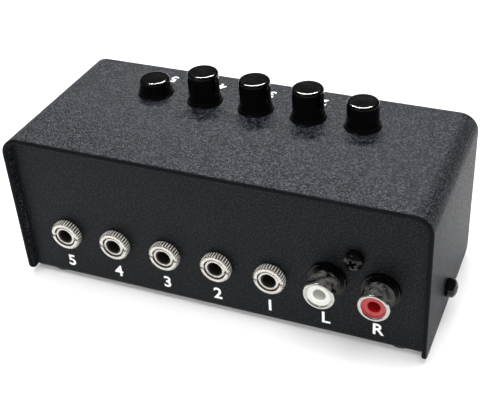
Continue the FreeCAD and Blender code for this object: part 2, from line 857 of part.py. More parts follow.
def make_phono_insert(side):
    """Coloured plastic bush with a dished face, bored for a plug's pin and for the contact behind it."""
    length = phono_reach - phono_insert_setback + sheet + phono_insert_depth
    seat = -(phono_reach - phono_insert_setback)
    insert = turned([
        (phono_contact_radius, -length), (phono_insert_radius, -length), (phono_insert_radius, 0),
        (phono_dish_radius, 0), (phono_pin_bore_radius, -phono_dish_depth),
        (phono_pin_bore_radius, seat), (phono_contact_radius, seat),
    ])
    front = panel_y - phono_reach + phono_insert_setback
    return facing(insert, phono_x[side], front, phono_z, Vector(0, -1, 0))


def make_phono_contacts():
    """Tubular centre contacts behind the inserts, each with a tail down to the board."""
    contacts = []
    for side, x in enumerate(phono_x):
        back_y = panel_in_y + phono_contact_depth
        tube = rod_y(x, phono_z, phono_contact_radius, panel_y, back_y)
        tube = tube.cut(rod_y(x, phono_z, phono_pin_bore_radius, panel_y - overshoot, back_y + overshoot))
        pin_x, pin_y = phono_pins()[2 * side + 1]
        wall_middle = (phono_contact_radius + phono_pin_bore_radius) / 2
        contacts.append(tube.fuse(pin(pin_x, pin_y, phono_z - wall_middle, main_board_z)))
    return Part.makeCompound(contacts)


def make_phono_screw():
    return facing(pan_screw(phono_screw_length), phono_mid_x, panel_y, phono_screw_z, Vector(0, -1, 0))


def main_stand_places():
    x = half_width - main_stand_inset
    return [(-x, main_stand_y), (x, main_stand_y)]


def switch_stand_places():
    return [
        (x, button_y + y)
        for x in (-switch_stand_x, switch_stand_x) for y in (-switch_stand_front, switch_stand_back)
    ]


def make_stand(x, y, top_z):
    """Hexagonal pillar pressed into the floor, with a blind thread in its top."""
    corners = []
    for i in range(stand_side_count):
        angle = 2 * math.pi * i / stand_side_count
        corners.append(Vector(
            stand_corner_radius * math.cos(angle), stand_corner_radius * math.sin(angle), floor_top_z
        ))
    pillar = Part.Face(Part.makePolygon(corners + corners[:1])).extrude(Vector(0, 0, top_z - floor_top_z))
    pillar = pillar.fuse(post(0, 0, stand_spigot_radius, floor_z, floor_top_z))
    pillar = pillar.cut(post(0, 0, thread_radius, top_z - stand_thread_depth, top_z + overshoot))
    pillar.translate(Vector(x, y, 0))
    return pillar


def make_board_stands():
    stands = [make_stand(x, y, main_board_z) for x, y in main_stand_places()]
    stands += [make_stand(x, y, switch_board_z) for x, y in switch_stand_places()]
    return Part.makeCompound(stands)


def make_board_screws():
    screw = pan_screw(board_screw_length)
    upward = Vector(0, 0, 1)
    screws = [facing(screw, x, y, main_board_top_z, upward) for x, y in main_stand_places()]
    screws += [facing(screw, x, y, switch_board_top_z, upward) for x, y in switch_stand_places()]
    return Part.makeCompound(screws)


def make_main_board():
    plate = block(
        -main_board_half_width, main_board_half_width, main_board_y, main_board_far_y,
        main_board_z, main_board_top_z,
    )
    places = phono_pins()
    for number in range(1, jack_count + 1):
        places += jack_pins(number)
    for x, y in places:
        plate = plate.cut(pin_hole(x, y, main_board_z - overshoot, main_board_top_z + overshoot))
    for x, y in main_stand_places():
        plate = plate.cut(post(x, y, screw_hole_radius, main_board_z - overshoot,
                               main_board_top_z + overshoot))
    return plate


def make_switch_board():
    plate = block(
        -switch_board_half_width, switch_board_half_width,
        button_y - switch_board_half_depth, button_y + switch_board_half_depth,
        switch_board_z, switch_board_top_z,
    )
    for number in range(1, button_count + 1):
        for terminal in terminal_blocks(number, pin_clearance):
            plate = plate.cut(terminal)
    for x, y in switch_stand_places():
        plate = plate.cut(post(x, y, screw_hole_radius, switch_board_z - overshoot,
                               switch_board_top_z + overshoot))
    return plate


def make_link_wires():
    """Wires from the main board's top up to the underside of the switch board, with two bends each."""
    y0 = panel_in_y + jack_body_depth + wire_jack_gap
    y1 = button_y - wire_end_reach
    radius = wire_bend_radius
    middle_z = (main_board_top_z + switch_board_z) / 2
    low_z = middle_z - radius
    high_z = middle_z + radius
    diagonal = radius * (1 - math.sqrt(0.5))
    wires = []
    for i in range(wire_count):
        x = (i - (wire_count - 1) / 2) * wire_pitch
        lower = Part.Arc(
            Vector(x, y0, low_z), Vector(x, y0 + diagonal, middle_z - diagonal),
            Vector(x, y0 + radius, middle_z),
        )
        upper = Part.Arc(
            Vector(x, y1 - radius, middle_z), Vector(x, y1 - diagonal, middle_z + diagonal),
            Vector(x, y1, high_z),
        )
        path = Part.Wire([
            Part.makeLine(Vector(x, y0, main_board_top_z), Vector(x, y0, low_z)),
            lower.toShape(),
            Part.makeLine(Vector(x, y0 + radius, middle_z), Vector(x, y1 - radius, middle_z)),
            upper.toShape(),
            Part.makeLine(Vector(x, y1, high_z), Vector(x, y1, switch_board_z)),
        ])
        end = Part.Wire([Part.makeCircle(wire_radius, Vector(x, y0, main_board_top_z), Vector(0, 0, 1))])
        wires.append(path.makePipeShell([end], True, False))
    return Part.makeCompound(wires)


def make_nodes():
    nodes = {
        "cover": make_cover(),
        "chassis": make_chassis(),
        "cover_screws": make_cover_screws(),
        "feet": make_feet(),
        "button_collars": make_collars(),
        "latch_wires": make_latch_wires(),
        "switch_terminals": make_terminals(),
        "jack_nuts": make_jack_nuts(),
        "phono_body": make_phono_body(),
        "phono_shell_left": make_phono_shell(0),
        "phono_shell_right": make_phono_shell(1),
        "phono_insert_white": make_phono_insert(0),
        "phono_insert_red": make_phono_insert(1),
        "phono_contacts": make_phono_contacts(),
        "phono_screw": make_phono_screw(),
        "main_board": make_main_board(),
        "switch_board": make_switch_board(),
        "board_stands": make_board_stands(),
        "board_screws": make_board_screws(),
        "link_wires": make_link_wires(),
    }
    for number in range(1, button_count + 1):
        nodes[f"button_{number}_cap"] = make_cap(number)
        nodes[f"button_{number}_plunger"] = make_plunger(number)
        nodes[f"button_{number}_wipers"] = make_wipers(number)
        nodes[f"switch_{number}_housing"] = make_housing(number)
        nodes[f"switch_{number}_spring"] = make_return_spring(number)
    for number in range(1, jack_count + 1):
        nodes[f"jack_{number}_body"] = make_jack_body(number)
        nodes[f"jack_{number}_sleeve"] = make_jack_sleeve(number)
        nodes[f"jack_{number}_contacts"] = make_jack_contacts(number)
    return nodes


os.makedirs("parts", exist_ok=True)
for name, shape in make_nodes().items():
    shape.exportStep(f"parts/{name}.step")
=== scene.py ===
"""Desktop audio selector box: folded black steel, five latching push buttons, five 3.5 mm jacks, one phono pair."""

import json
import math

import bmesh
import bpy
from bpy.props import FloatProperty, FloatVectorProperty, IntProperty, PointerProperty
from mathutils import Matrix, Vector


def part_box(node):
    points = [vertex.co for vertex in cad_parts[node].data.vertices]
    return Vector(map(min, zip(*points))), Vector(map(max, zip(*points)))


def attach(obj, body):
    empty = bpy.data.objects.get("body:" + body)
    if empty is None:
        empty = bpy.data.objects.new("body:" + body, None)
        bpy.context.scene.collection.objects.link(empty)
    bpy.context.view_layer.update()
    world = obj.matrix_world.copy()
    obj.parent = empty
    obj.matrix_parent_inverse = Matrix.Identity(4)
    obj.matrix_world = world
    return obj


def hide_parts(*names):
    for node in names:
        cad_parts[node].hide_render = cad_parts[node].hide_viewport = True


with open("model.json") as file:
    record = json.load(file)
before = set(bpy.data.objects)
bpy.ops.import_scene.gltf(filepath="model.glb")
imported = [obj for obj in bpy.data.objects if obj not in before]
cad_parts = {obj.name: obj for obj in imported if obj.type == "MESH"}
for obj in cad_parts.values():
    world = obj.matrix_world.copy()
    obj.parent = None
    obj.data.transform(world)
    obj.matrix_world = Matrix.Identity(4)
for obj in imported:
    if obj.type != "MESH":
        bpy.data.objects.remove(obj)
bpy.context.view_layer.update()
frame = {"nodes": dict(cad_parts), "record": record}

bl_info = {
    "name": "Audio Selector Box",
    "version": (1, 0, 0),
    "blender": (4, 5, 0),
    "location": "View3D > Sidebar > Selector",
    "description": "Builds a desktop audio selector box around its packed CAD model",
    "category": "Add Mesh",
}

MM = 0.001
MOUNTS = {mount["name"]: mount for mount in frame["record"]["mounts"]}
SLOTS = {row["node"]: row["material_slot"] for row in frame["record"]["subparts"]}

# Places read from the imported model
COVER_LOW, COVER_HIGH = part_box("cover")
PANEL_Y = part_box("jack_nuts")[1].y
PANEL_IN_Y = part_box("jack_1_body")[0].y
SHEET = PANEL_IN_Y - PANEL_Y
BUTTON_Y = sum(corner.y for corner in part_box("button_3_cap")) / 2
BUTTONS = range(1, 6)
JACKS = range(1, 6)
SIDES = ("left", "right")
OUT_OF_PANEL = Matrix.Rotation(math.radians(90), 4, "X")
OUT_OF_RIGHT = Matrix.Rotation(math.radians(90), 4, "Y")
OUT_OF_LEFT = Matrix.Rotation(math.radians(-90), 4, "Y")

# The camera that was fitted to the box's edges: picture, focal length and centre in pixels, sensor in millimetres,
# place in metres, and azimuth, elevation and roll in degrees
PICTURE_WIDTH = 480.0
PICTURE_HEIGHT = 420.0
FOCAL_PIXELS = 968.205
CENTRE_PIXEL = (280.0, 206.0)
SENSOR_WIDTH = 36.0
CAMERA_PLACE = Vector((93.55, -197.05, 175.8)) * MM
CAMERA_ANGLES = (22.585, 35.383, -2.581)


class SelectorSheetSizes(bpy.types.PropertyGroup):
    """Folded sheet of the cover and what is fixed through it"""
    thickness: FloatProperty(
        name="Sheet", description="Thickness of the cover's sheet", default=1.2 * MM, unit="LENGTH", precision=5)
    bend: FloatProperty(
        name="Bend", description="Outer radius of the cover's two bends", default=5.2 * MM, unit="LENGTH",
        precision=5)
    bend_steps: IntProperty(name="Bend steps", description="Faces round each bend", default=20, min=4)
    edge: FloatProperty(
        name="Raw edge", description="Rounding of the raw edges by the coating", default=0.35 * MM, unit="LENGTH",
        precision=5)
    collar_hole: FloatProperty(
        name="Collar hole", description="Radius of the holes in the top", default=4.8 * MM, unit="LENGTH",
        precision=5)
    foot_corner: FloatProperty(
        name="Foot corner", description="Rounding of the sides' lower corners", default=2.0 * MM, unit="LENGTH",
        precision=5)
    screw_hole: FloatProperty(
        name="Screw hole", description="Radius of the holes in the sides", default=1.7 * MM, unit="LENGTH",
        precision=5)


class SelectorButtonSizes(bpy.types.PropertyGroup):
    """Round push button and the collar round it"""
    top: FloatProperty(
        name="Cap top", description="Radius of a cap at its top", default=4.3 * MM, unit="LENGTH", precision=5)
    foot: FloatProperty(
        name="Cap foot", description="Radius of a cap at its foot", default=4.35 * MM, unit="LENGTH", precision=5)
    length: FloatProperty(
        name="Cap length", description="Height of a cap", default=12.0 * MM, unit="LENGTH", precision=5)
    rim: FloatProperty(
        name="Cap rim", description="Rounding of a cap's upper rim", default=0.8 * MM, unit="LENGTH", precision=5)
    dish: FloatProperty(
        name="Cap dish", description="Depth of the hollow in a cap's top", default=0.15 * MM, unit="LENGTH",
        precision=5)
    wall: FloatProperty(
        name="Cap wall", description="Wall of a cap", default=0.9 * MM, unit="LENGTH", precision=5)
    collar_foot: FloatProperty(
        name="Collar foot", description="Radius of a collar on the cover", default=5.0 * MM, unit="LENGTH",
        precision=5)
    collar_lip: FloatProperty(
        name="Collar lip", description="Radius of a collar's upper edge", default=4.65 * MM, unit="LENGTH",
        precision=5)
    collar_height: FloatProperty(
        name="Collar height", description="How far a collar stands above the cover", default=1.3 * MM,
        unit="LENGTH", precision=5)
    collar_bore: FloatProperty(
        name="Collar bore", description="Radius of a collar's bore", default=4.45 * MM, unit="LENGTH", precision=5)


class SelectorJackSizes(bpy.types.PropertyGroup):
    """Knurled nut and threaded sleeve of a jack"""
    nut_radius: FloatProperty(
        name="Nut", description="Outer radius of the round nut", default=4.3 * MM, unit="LENGTH", precision=5)
    nut_thickness: FloatProperty(
        name="Nut thickness", description="Thickness of the round nut", default=2.3 * MM, unit="LENGTH",
        precision=5)
    ribs: IntProperty(name="Ribs", description="Straight ribs round the nut's edge", default=34, min=12)
    rib_depth: FloatProperty(
        name="Rib depth", description="Depth of the grooves between the ribs", default=0.26 * MM, unit="LENGTH",
        precision=5)
    nut_edge: FloatProperty(
        name="Nut chamfer", description="Chamfer of the nut's two ends", default=0.33 * MM, unit="LENGTH",
        precision=5)
    slot_width: FloatProperty(
        name="Slot width", description="Width of the two spanner slots", default=1.2 * MM, unit="LENGTH",
        precision=5)
    slot_depth: FloatProperty(
        name="Slot depth", description="Depth of the two spanner slots", default=0.45 * MM, unit="LENGTH",
        precision=5)
    sleeve: FloatProperty(
        name="Sleeve", description="Outer radius of the threaded sleeve", default=2.95 * MM, unit="LENGTH",
        precision=5)
    bore: FloatProperty(
        name="Bore", description="Radius of the bore for the plug", default=1.8 * MM, unit="LENGTH", precision=5)
    mouth: FloatProperty(
        name="Mouth", description="Radius of the countersunk mouth", default=2.2 * MM, unit="LENGTH", precision=5)
    reach: FloatProperty(
        name="Reach", description="How far the sleeve stands out of the panel", default=2.1 * MM, unit="LENGTH",
        precision=5)


class SelectorPhonoSizes(bpy.types.PropertyGroup):
    """Plated shell, coloured insert and black bosses of a phono socket"""
    shell: FloatProperty(
        name="Shell", description="Outer radius of the plated shell", default=4.15 * MM, unit="LENGTH",
        precision=5)
    wall: FloatProperty(
        name="Shell wall", description="Wall of the plated shell", default=0.5 * MM, unit="LENGTH", precision=5)
    reach: FloatProperty(
        name="Reach", description="How far the shell stands out of the panel", default=7.6 * MM, unit="LENGTH",
        precision=5)
    pin_bore: FloatProperty(
        name="Pin bore", description="Radius of the hole for a plug's pin", default=1.65 * MM, unit="LENGTH",
        precision=5)
    dish: FloatProperty(
        name="Dish", description="Radius of the insert's dished face", default=2.85 * MM, unit="LENGTH",
        precision=5)
    dish_depth: FloatProperty(
        name="Dish depth", description="Depth of the insert's dished face", default=0.25 * MM, unit="LENGTH",
        precision=5)
    roll: FloatProperty(
        name="Rim roll", description="How far the rim is rolled inwards", default=0.5 * MM, unit="LENGTH",
        precision=5)
    rim: FloatProperty(
        name="Rim rounding", description="Rounding of the shell's rim", default=0.4 * MM, unit="LENGTH",
        precision=5)
    setback: FloatProperty(
        name="Setback", description="How far the insert lies behind the rim", default=0.45 * MM, unit="LENGTH",
        precision=5)


class SelectorColours(bpy.types.PropertyGroup):
    """Finishes"""
    coat: FloatVectorProperty(
        name="Cover coat", description="Powder coat of the cover", default=(0.0042, 0.0046, 0.0055),
        subtype="COLOR", size=3)
    # The chassis has the cover's black coat; this colour is darker than the cover's, as painted shade on the front
    # panel.
    panel: FloatVectorProperty(
        name="Panel coat", description="Powder coat of the chassis", default=(0.0026, 0.0028, 0.0031),
        subtype="COLOR", size=3)
    moulding: FloatVectorProperty(
        name="Black mouldings", description="Caps, collars and the phono moulding",
        default=(0.0010, 0.0010, 0.0011), subtype="COLOR", size=3)
    white_insert: FloatVectorProperty(
        name="White insert", description="Bush of the left phono socket", default=(0.62, 0.63, 0.59),
        subtype="COLOR", size=3)
    red_insert: FloatVectorProperty(
        name="Red insert", description="Bush of the right phono socket", default=(0.31, 0.006, 0.008),
        subtype="COLOR", size=3)
    nickel: FloatVectorProperty(
        name="Nickel", description="Plating of the jacks' nuts and sleeves", default=(0.60, 0.575, 0.53),
        subtype="COLOR", size=3)
    chrome: FloatVectorProperty(
        name="Chrome", description="Plating of the phono shells", default=(0.43, 0.42, 0.40),
        subtype="COLOR", size=3)
    print: FloatVectorProperty(
        name="Print", description="Printed numbers", default=(0.90, 0.90, 0.90), subtype="COLOR", size=3)


class Wire:
    """A shader socket that adds Math nodes when it is used in an expression."""

    def __init__(self, finish, socket):
        self.finish = finish
        self.socket = socket

    def maths(self, operation, *values):
        return self.finish.node("ShaderNodeMath", {"operation": operation}, *values)

    def __add__(self, other):
        return self.maths("ADD", self, other)

    def __radd__(self, other):
        return self.maths("ADD", other, self)

    def __sub__(self, other):
        return self.maths("SUBTRACT", self, other)

    def __rsub__(self, other):
        return self.maths("SUBTRACT", other, self)

    def __mul__(self, other):
        return self.maths("MULTIPLY", self, other)

    def __rmul__(self, other):
        return self.maths("MULTIPLY", other, self)

    def __pow__(self, other):
        return self.maths("POWER", self, other)

    def __rpow__(self, other):
        return self.maths("POWER", other, self)


class Finish:
    """A material whose nodes are added one call at a time."""

    def __init__(self, name="finish"):
        self.material = bpy.data.materials.new(name)
        self.material.use_nodes = True
        self.tree = self.material.node_tree
        self.tree.nodes.clear()
        self.shader = self.tree.nodes.new("ShaderNodeBsdfPrincipled")
        output = self.tree.nodes.new("ShaderNodeOutputMaterial")
        self.tree.links.new(self.shader.outputs["BSDF"], output.inputs["Surface"])
        self.place = self.node("ShaderNodeTexCoord", {}, out="Object")
        self.place_in_mm = self.node(
            "ShaderNodeVectorMath", {"operation": "MULTIPLY"}, self.place, (1.0 / MM, 1.0 / MM, 1.0 / MM))

    def node(self, kind, settings, *values, out=0, **named):
        """Adds a node: settings first, then the values or links of its sockets by position or by name."""
        node = self.tree.nodes.new(kind)
        for key, value in settings.items():
            setattr(node, key, value)
        for key, value in [*enumerate(values), *named.items()]:
            key = key.replace("_", " ") if isinstance(key, str) else key
            self.join(value, node.inputs[key])
        return Wire(self, node.outputs[out])

    def join(self, value, socket):
        """Links a wire to a socket, or sets the socket's own value."""
        if isinstance(value, Wire):
            self.tree.links.new(value.socket, socket)
        elif socket.type == "RGBA":
            socket.default_value = (*value, 1.0)
        else:
            socket.default_value = value

    def parts(self, vector):
        """The three coordinates of a vector."""
        node = self.tree.nodes.new("ShaderNodeSeparateXYZ")
        self.join(vector, node.inputs[0])
        return [Wire(self, output) for output in node.outputs]

    def set(self, **named):
        """Values or links of the surface's own sockets."""
        for key, value in named.items():
            self.join(value, self.shader.inputs[key.replace("_", " ")])

    def noise(self, size, detail=2.0, roughness=0.5):
        """Soft noise, 0 to 1, whose blotches are about size metres across."""
        return self.node(
            "ShaderNodeTexNoise", {}, Vector=self.place_in_mm, Scale=MM / size, Detail=detail,
            Roughness=roughness, out="Fac")

    def clamp(self, value, low, high, to_low, to_high):
        """value from low to high becomes to_low to to_high, and is held outside it."""
        return self.node("ShaderNodeMapRange", {"clamp": True}, value, low, high, to_low, to_high)

    def rise(self, value, low, high):
        """0 up to low and 1 from high on."""
        return self.clamp(value, low, high, 0.0, 1.0)

    def fall(self, value, low, high):
        """1 up to low and 0 from high on."""
        return self.clamp(value, low, high, 1.0, 0.0)

    def spread(self, noise, low, high):
        """The range that a noise mostly keeps to, spread from low to high."""
        return self.clamp(noise, 0.3, 0.7, low, high)

    def blend(self, share, first, second):
        """A colour between first and second."""
        return self.node("ShaderNodeMix", {"data_type": "RGBA"}, out=2, Factor=share, A=first, B=second)

    def bump(self, height, depth, strength=1.0, under=None):
        """A normal for a surface whose height varies by depth metres."""
        named = {"Normal": under} if under else {}
        return self.node("ShaderNodeBump", {}, Height=height, Distance=depth, Strength=strength, **named)


def powder_coat(colour, grain, gloss, shine, relief, speckle):
    """Textured powder coat: rounded grains, bright and dark specks, faint rubbed patches, smooth on a raw edge."""
    finish = Finish()
    _, depth, _ = finish.parts(finish.place)
    off_edge = finish.rise(depth, COVER_LOW.y + 0.25 * MM, COVER_LOW.y + 0.80 * MM)
    grains = finish.noise(grain, 2.0, 0.55)
    specks = finish.rise(finish.noise(grain * 1.2, 1.0, 0.6), 0.47, 0.64) * off_edge
    wear_and_highlight = finish.rise(finish.noise(14 * MM, 3.0), 0.55, 0.75)
    lighter = tuple(min(1.0, speckle * part) for part in colour)
    finish.set(
        Base_Color=finish.blend(specks * 0.8 + wear_and_highlight * 0.05, colour, lighter),
        Roughness=finish.spread(grains, gloss + 0.15, gloss - 0.15) - wear_and_highlight * 0.03,
        Normal=finish.bump(grains * off_edge, relief),
        IOR=shine,
        Specular_Tint=(0.86, 0.92, 1.0),
    )
    return finish.material


def moulded(colour, roughness, coat=0.0, ripple=0.01 * MM, shine=1.5):
    """Moulded plastic: slight flow ripple and faint handling marks."""
    finish = Finish()
    flow = finish.noise(2.6 * MM, 2.0)
    marks = finish.rise(finish.noise(0.7 * MM, 4.0, 0.6), 0.5, 0.8)
    dull = tuple(min(1.0, part * 1.25 + 0.002) for part in colour)
    finish.set(
        Base_Color=finish.blend(marks * 0.5, colour, dull),
        Roughness=finish.spread(flow, roughness * 0.85, roughness * 1.15) + marks * 0.05,
        Normal=finish.bump(flow, ripple, 0.4),
        IOR=shine,
        Coat_Weight=coat,
        Coat_Roughness=0.08,
    )
    return finish.material


def plated(colour, roughness, tarnish, film=0.0):
    """Plated metal: polished, with faint tarnish and scratches, and a dull film in patches."""
    finish = Finish()
    cloud = finish.noise(1.8 * MM, 3.0, 0.6)
    stain = finish.rise(cloud, 0.45, 0.75)
    scratch = finish.noise(0.12 * MM, 2.0, 0.7)
    darker = tuple(part * 0.62 for part in colour)
    finish.set(
        Base_Color=finish.blend(stain * tarnish, colour, darker),
        Metallic=finish.clamp(cloud, 0.40, 0.62, 1.0, 1.0 - film),
        Roughness=finish.clamp(scratch, 0.3, 0.8, roughness, roughness + 0.10) + stain * 0.08,
        Normal=finish.bump(scratch + cloud * 0.5, 0.002 * MM, 0.35),
    )
    return finish.material


def ribbed_nickel(colour, sizes):
    """Dull nickel: painted highlights on the nuts' ribs, and painted shade between them, round the sleeve and in
    its mouth.
    """
    finish = Finish()
    first, second = at_mount("jack_1"), at_mount("jack_2")
    spacing = first.x - second.x
    x, y, z = finish.parts(finish.place)
    across = finish.node("ShaderNodeMath", {"operation": "WRAP"}, x - first.x, spacing / 2, -spacing / 2)
    upward = z - first.z
    radius = (across * across + upward * upward) ** 0.5
    groove = sizes.nut_radius - sizes.rib_depth
    nut_face = PANEL_Y - sizes.nut_thickness
    # Masks of painted shade: the grooves between the ribs, the gap between nut and sleeve, and the bore's mouth.
    between_ribs = (
        finish.rise(radius, groove - 0.04 * MM, groove - 0.02 * MM)
        * finish.fall(radius, groove + 0.10 * MM, groove + 0.17 * MM)
        * finish.rise(y, nut_face + sizes.nut_edge, nut_face + 0.5 * MM))
    round_sleeve = (
        finish.rise(radius, sizes.sleeve + 0.01 * MM, sizes.sleeve + 0.04 * MM)
        * finish.fall(radius, sizes.sleeve + 0.16 * MM, sizes.sleeve + 0.24 * MM))
    in_bore = finish.fall(radius, sizes.bore + 0.30 * MM, sizes.bore + 0.45 * MM)
    # One mask of all the painted shade.
    painted_shade = finish.rise(between_ribs + round_sleeve + in_bore, 0.0, 1.0)
    # Painted highlight: a mask of the rib tops, which get a lighter colour.
    rib_highlight = finish.rise(radius, groove + 0.15 * MM, groove + 0.22 * MM)
    cloud = finish.noise(0.9 * MM, 3.0, 0.6)
    stain = finish.rise(cloud, 0.45, 0.75)
    darker = tuple(part * 0.55 for part in colour)
    # A lighter plating colour, painted as a highlight on the rib tops.
    wear_and_highlight = tuple(min(1.0, part * 1.5) for part in colour)
    plating = finish.blend(rib_highlight, finish.blend(stain * 0.5, colour, darker), wear_and_highlight)
    finish.set(
        # Painted shade: a near-black colour in the grooves, round the sleeve and in the bore.
        Base_Color=finish.blend(painted_shade, plating, (0.010, 0.008, 0.006)),
        Metallic=finish.rise(0.78 - painted_shade * 0.78 - rib_highlight * 0.45, 0.0, 1.0),
        Roughness=finish.spread(cloud, 0.20, 0.32) + painted_shade * 0.3,
        Normal=finish.bump(cloud, 0.01 * MM, 0.6),
    )
    return finish.material


def rubber(colour):
    """Matt rubber with pale dust on it."""
    finish = Finish()
    dust = finish.noise(0.5 * MM, 4.0, 0.6)
    pale = tuple(part * 2.4 + 0.01 for part in colour)
    finish.set(
        Base_Color=finish.blend(finish.clamp(dust, 0.5, 0.85, 0.0, 0.6), colour, pale),
        Roughness=finish.spread(dust, 0.72, 0.9),
        Normal=finish.bump(dust, 0.02 * MM, 0.6),
    )
    return finish.material


def circuit_board(colour):
    """Green mask with the tracks under it showing as faint ridges."""
    finish = Finish()
    track_pitch_mm = 3.2
    weave = finish.node(
        "ShaderNodeTexVoronoi", {"distance": "MANHATTAN", "feature": "F1"}, Vector=finish.place_in_mm,
        Scale=1.0 / track_pitch_mm, out="Distance")
    track = finish.rise(weave, 0.42, 0.46)
    copper = tuple(part * 1.7 + 0.01 for part in colour)
    finish.set(
        Base_Color=finish.blend(track * 0.7, colour, copper),
        Roughness=finish.spread(finish.noise(1.0 * MM), 0.25, 0.4),
        Normal=finish.bump(track, 0.03 * MM, 0.5),
    )
    return finish.material


def make_finishes(colours):
    """One material for each material slot of the record, and one for the print."""
    black = tuple(colours.moulding)
    return {
        "cover_coat": powder_coat(
            tuple(colours.coat), grain=0.44 * MM, gloss=0.38, shine=1.12, relief=0.36 * MM, speckle=14.0),
        # The chassis coat's darker colour and fainter specks are painted shade on the front panel.
        "chassis_coat": powder_coat(
            tuple(colours.panel), grain=0.42 * MM, gloss=0.42, shine=1.21, relief=0.07 * MM, speckle=6.0),
        "black_screw": moulded((0.002, 0.002, 0.0022), roughness=0.12, coat=0.1, shine=1.3),
        "foot_rubber": rubber((0.018, 0.018, 0.018)),
        "collar_black": moulded(black, roughness=0.16, coat=0.1, ripple=0.002 * MM, shine=1.36),
        "cap_black": moulded(black, roughness=0.10, ripple=0.002 * MM, shine=1.34),
        "spring_steel": plated((0.55, 0.55, 0.56), roughness=0.22, tarnish=0.3),
        "contact_bronze": plated((0.78, 0.60, 0.36), roughness=0.16, tarnish=0.3),
        "nickel": ribbed_nickel(tuple(colours.nickel), bpy.context.scene.selector_jack),
        "chrome": plated(tuple(colours.chrome), roughness=0.11, tarnish=0.20, film=0.24),
        "socket_black": moulded(black, roughness=0.24, coat=0.05, shine=1.3),
        "insert_white": moulded(tuple(colours.white_insert), roughness=0.35, coat=0.2),
        "insert_red": moulded(tuple(colours.red_insert), roughness=0.30, coat=0.3),
        "plunger_white": moulded((0.70, 0.70, 0.68), roughness=0.40),
        "housing_black": moulded((0.020, 0.020, 0.021), roughness=0.45),
        "board_green": circuit_board((0.012, 0.085, 0.035)),
        "stand_zinc": plated((0.62, 0.62, 0.60), roughness=0.28, tarnish=0.4),
        "wire_grey": moulded((0.24, 0.24, 0.25), roughness=0.45),
        "print_white": moulded(tuple(colours.print), roughness=0.50),
    }


def finish_named(slot, colours):
    """The material of a slot, made once with all the others, beside the CAD model's own plain ones."""
    name = slot + "_finish"
    if name not in bpy.data.materials:
        for key, material in make_finishes(colours).items():
            material.name = key + "_finish"
    return bpy.data.materials[name]


def closed(bm):
    """Merges what touches and turns every face outwards."""
    bmesh.ops.remove_doubles(bm, verts=bm.verts, dist=0.002 * MM)
    bmesh.ops.recalc_face_normals(bm, faces=bm.faces)
    return bm


def turned(profile, steps=96, ring=False):
    """A solid of revolution about Z from (radius, height) corners. A ring's profile closes on itself."""
    bm = bmesh.new()
    corners = [bm.verts.new((radius, 0.0, height)) for radius, height in profile]
    pairs = list(zip(corners, corners[1:]))
    if ring:
        pairs.append((corners[-1], corners[0]))
    edges = [bm.edges.new(pair) for pair in pairs]
    bmesh.ops.spin(
        bm, geom=corners + edges, cent=(0, 0, 0), axis=(0, 0, 1), angle=math.tau, steps=steps, use_merge=True)
    return closed(bm)


def rounded(profile, corner, radius, steps=5):
    """The profile with one of its corners replaced by an arc of that radius."""
    before, here, after = (Vector(profile[i % len(profile)]) for i in (corner - 1, corner, corner + 1))
    back = (before - here).normalized()
    ahead = (after - here).normalized()
    half = math.acos(max(-1.0, min(1.0, back.dot(ahead)))) / 2
    middle = here + (back + ahead).normalized() * (radius / math.sin(half))
    start = here + back * (radius / math.tan(half)) - middle
    end = here + ahead * (radius / math.tan(half)) - middle
    arc = []
    for i in range(steps + 1):
        point = start.lerp(end, i / steps)
        arc.append(tuple(middle + point.normalized() * radius))
    return list(profile[:corner]) + arc + list(profile[corner + 1:])


def moved(bm, matrix):
    """The same bmesh, put through a matrix."""
    bmesh.ops.transform(bm, matrix=matrix, verts=bm.verts)
    return bm


def block(low, high, edge=0.0, steps=2):
    """A box between two corners with its edges rounded."""
    bm = bmesh.new()
    bmesh.ops.create_cube(bm, size=1.0)
    size = Vector(high) - Vector(low)
    centre = (Vector(high) + Vector(low)) / 2
    moved(bm, Matrix.Translation(centre) @ Matrix.Diagonal((*size, 1.0)))
    if edge:
        bmesh.ops.bevel(
            bm, geom=list(bm.edges), offset=edge, segments=steps, affect="EDGES", profile=0.5, material=-1)
    return bm


def rod(radius, reach, steps):
    """A round cutter along Z that reaches equally far up and down."""
    return turned([(0, -reach), (radius, -reach), (radius, reach), (0, reach)], steps)


def solder_pin(x, y, foot, top):
    """A square upright pin between two heights."""
    half, edge = 0.3 * MM, 0.06 * MM
    return block((x - half, y - half, foot), (x + half, y + half, top), edge)


def joined(*parts):
    """Several bmeshes as one; the parts are used up."""
    whole = bmesh.new()
    for part in parts:
        mesh = bpy.data.meshes.new("part")
        part.to_mesh(mesh)
        part.free()
        whole.from_mesh(mesh)
        bpy.data.meshes.remove(mesh)
    return whole


def copy_of(bm, matrix):
    """A copy of the bmesh, put through a matrix."""
    return moved(bm.copy(), matrix)


def loose_object(name, bm):
    """An object in the scene whose mesh takes up the bmesh."""
    mesh = bpy.data.meshes.new(name)
    bm.to_mesh(mesh)
    bm.free()
    thing = bpy.data.objects.new(name, mesh)
    bpy.context.scene.collection.objects.link(thing)
    return thing


def with_modifiers(bm, *modifiers):
    """The bmesh after modifiers, given as (kind, settings)."""
    thing = loose_object("work", bm)
    for kind, settings in modifiers:
        modifier = thing.modifiers.new(kind, kind)
        for key, value in settings.items():
            setattr(modifier, key, value)
    graph = bpy.context.evaluated_depsgraph_get()
    result = bmesh.new()
    result.from_mesh(thing.evaluated_get(graph).to_mesh())
    bpy.data.objects.remove(thing)
    return result


def cut(bm, cutter, operation="DIFFERENCE"):
    """The bmesh with the cutter taken out of it, or with INTERSECT only what lies inside the cutter."""
    tool = loose_object("cutter", cutter)
    result = with_modifiers(bm, ("BOOLEAN", {"operation": operation, "solver": "EXACT", "object": tool}))
    bpy.data.objects.remove(tool)
    return result


def softened(bm, width, steps=2, angle=32.0):
    """The bmesh with its sharp edges rounded."""
    return with_modifiers(bm, ("BEVEL", {
        "width": width, "segments": steps, "limit_method": "ANGLE", "angle_limit": math.radians(angle),
        "use_clamp_overlap": True, "miter_outer": "MITER_ARC",
    }))


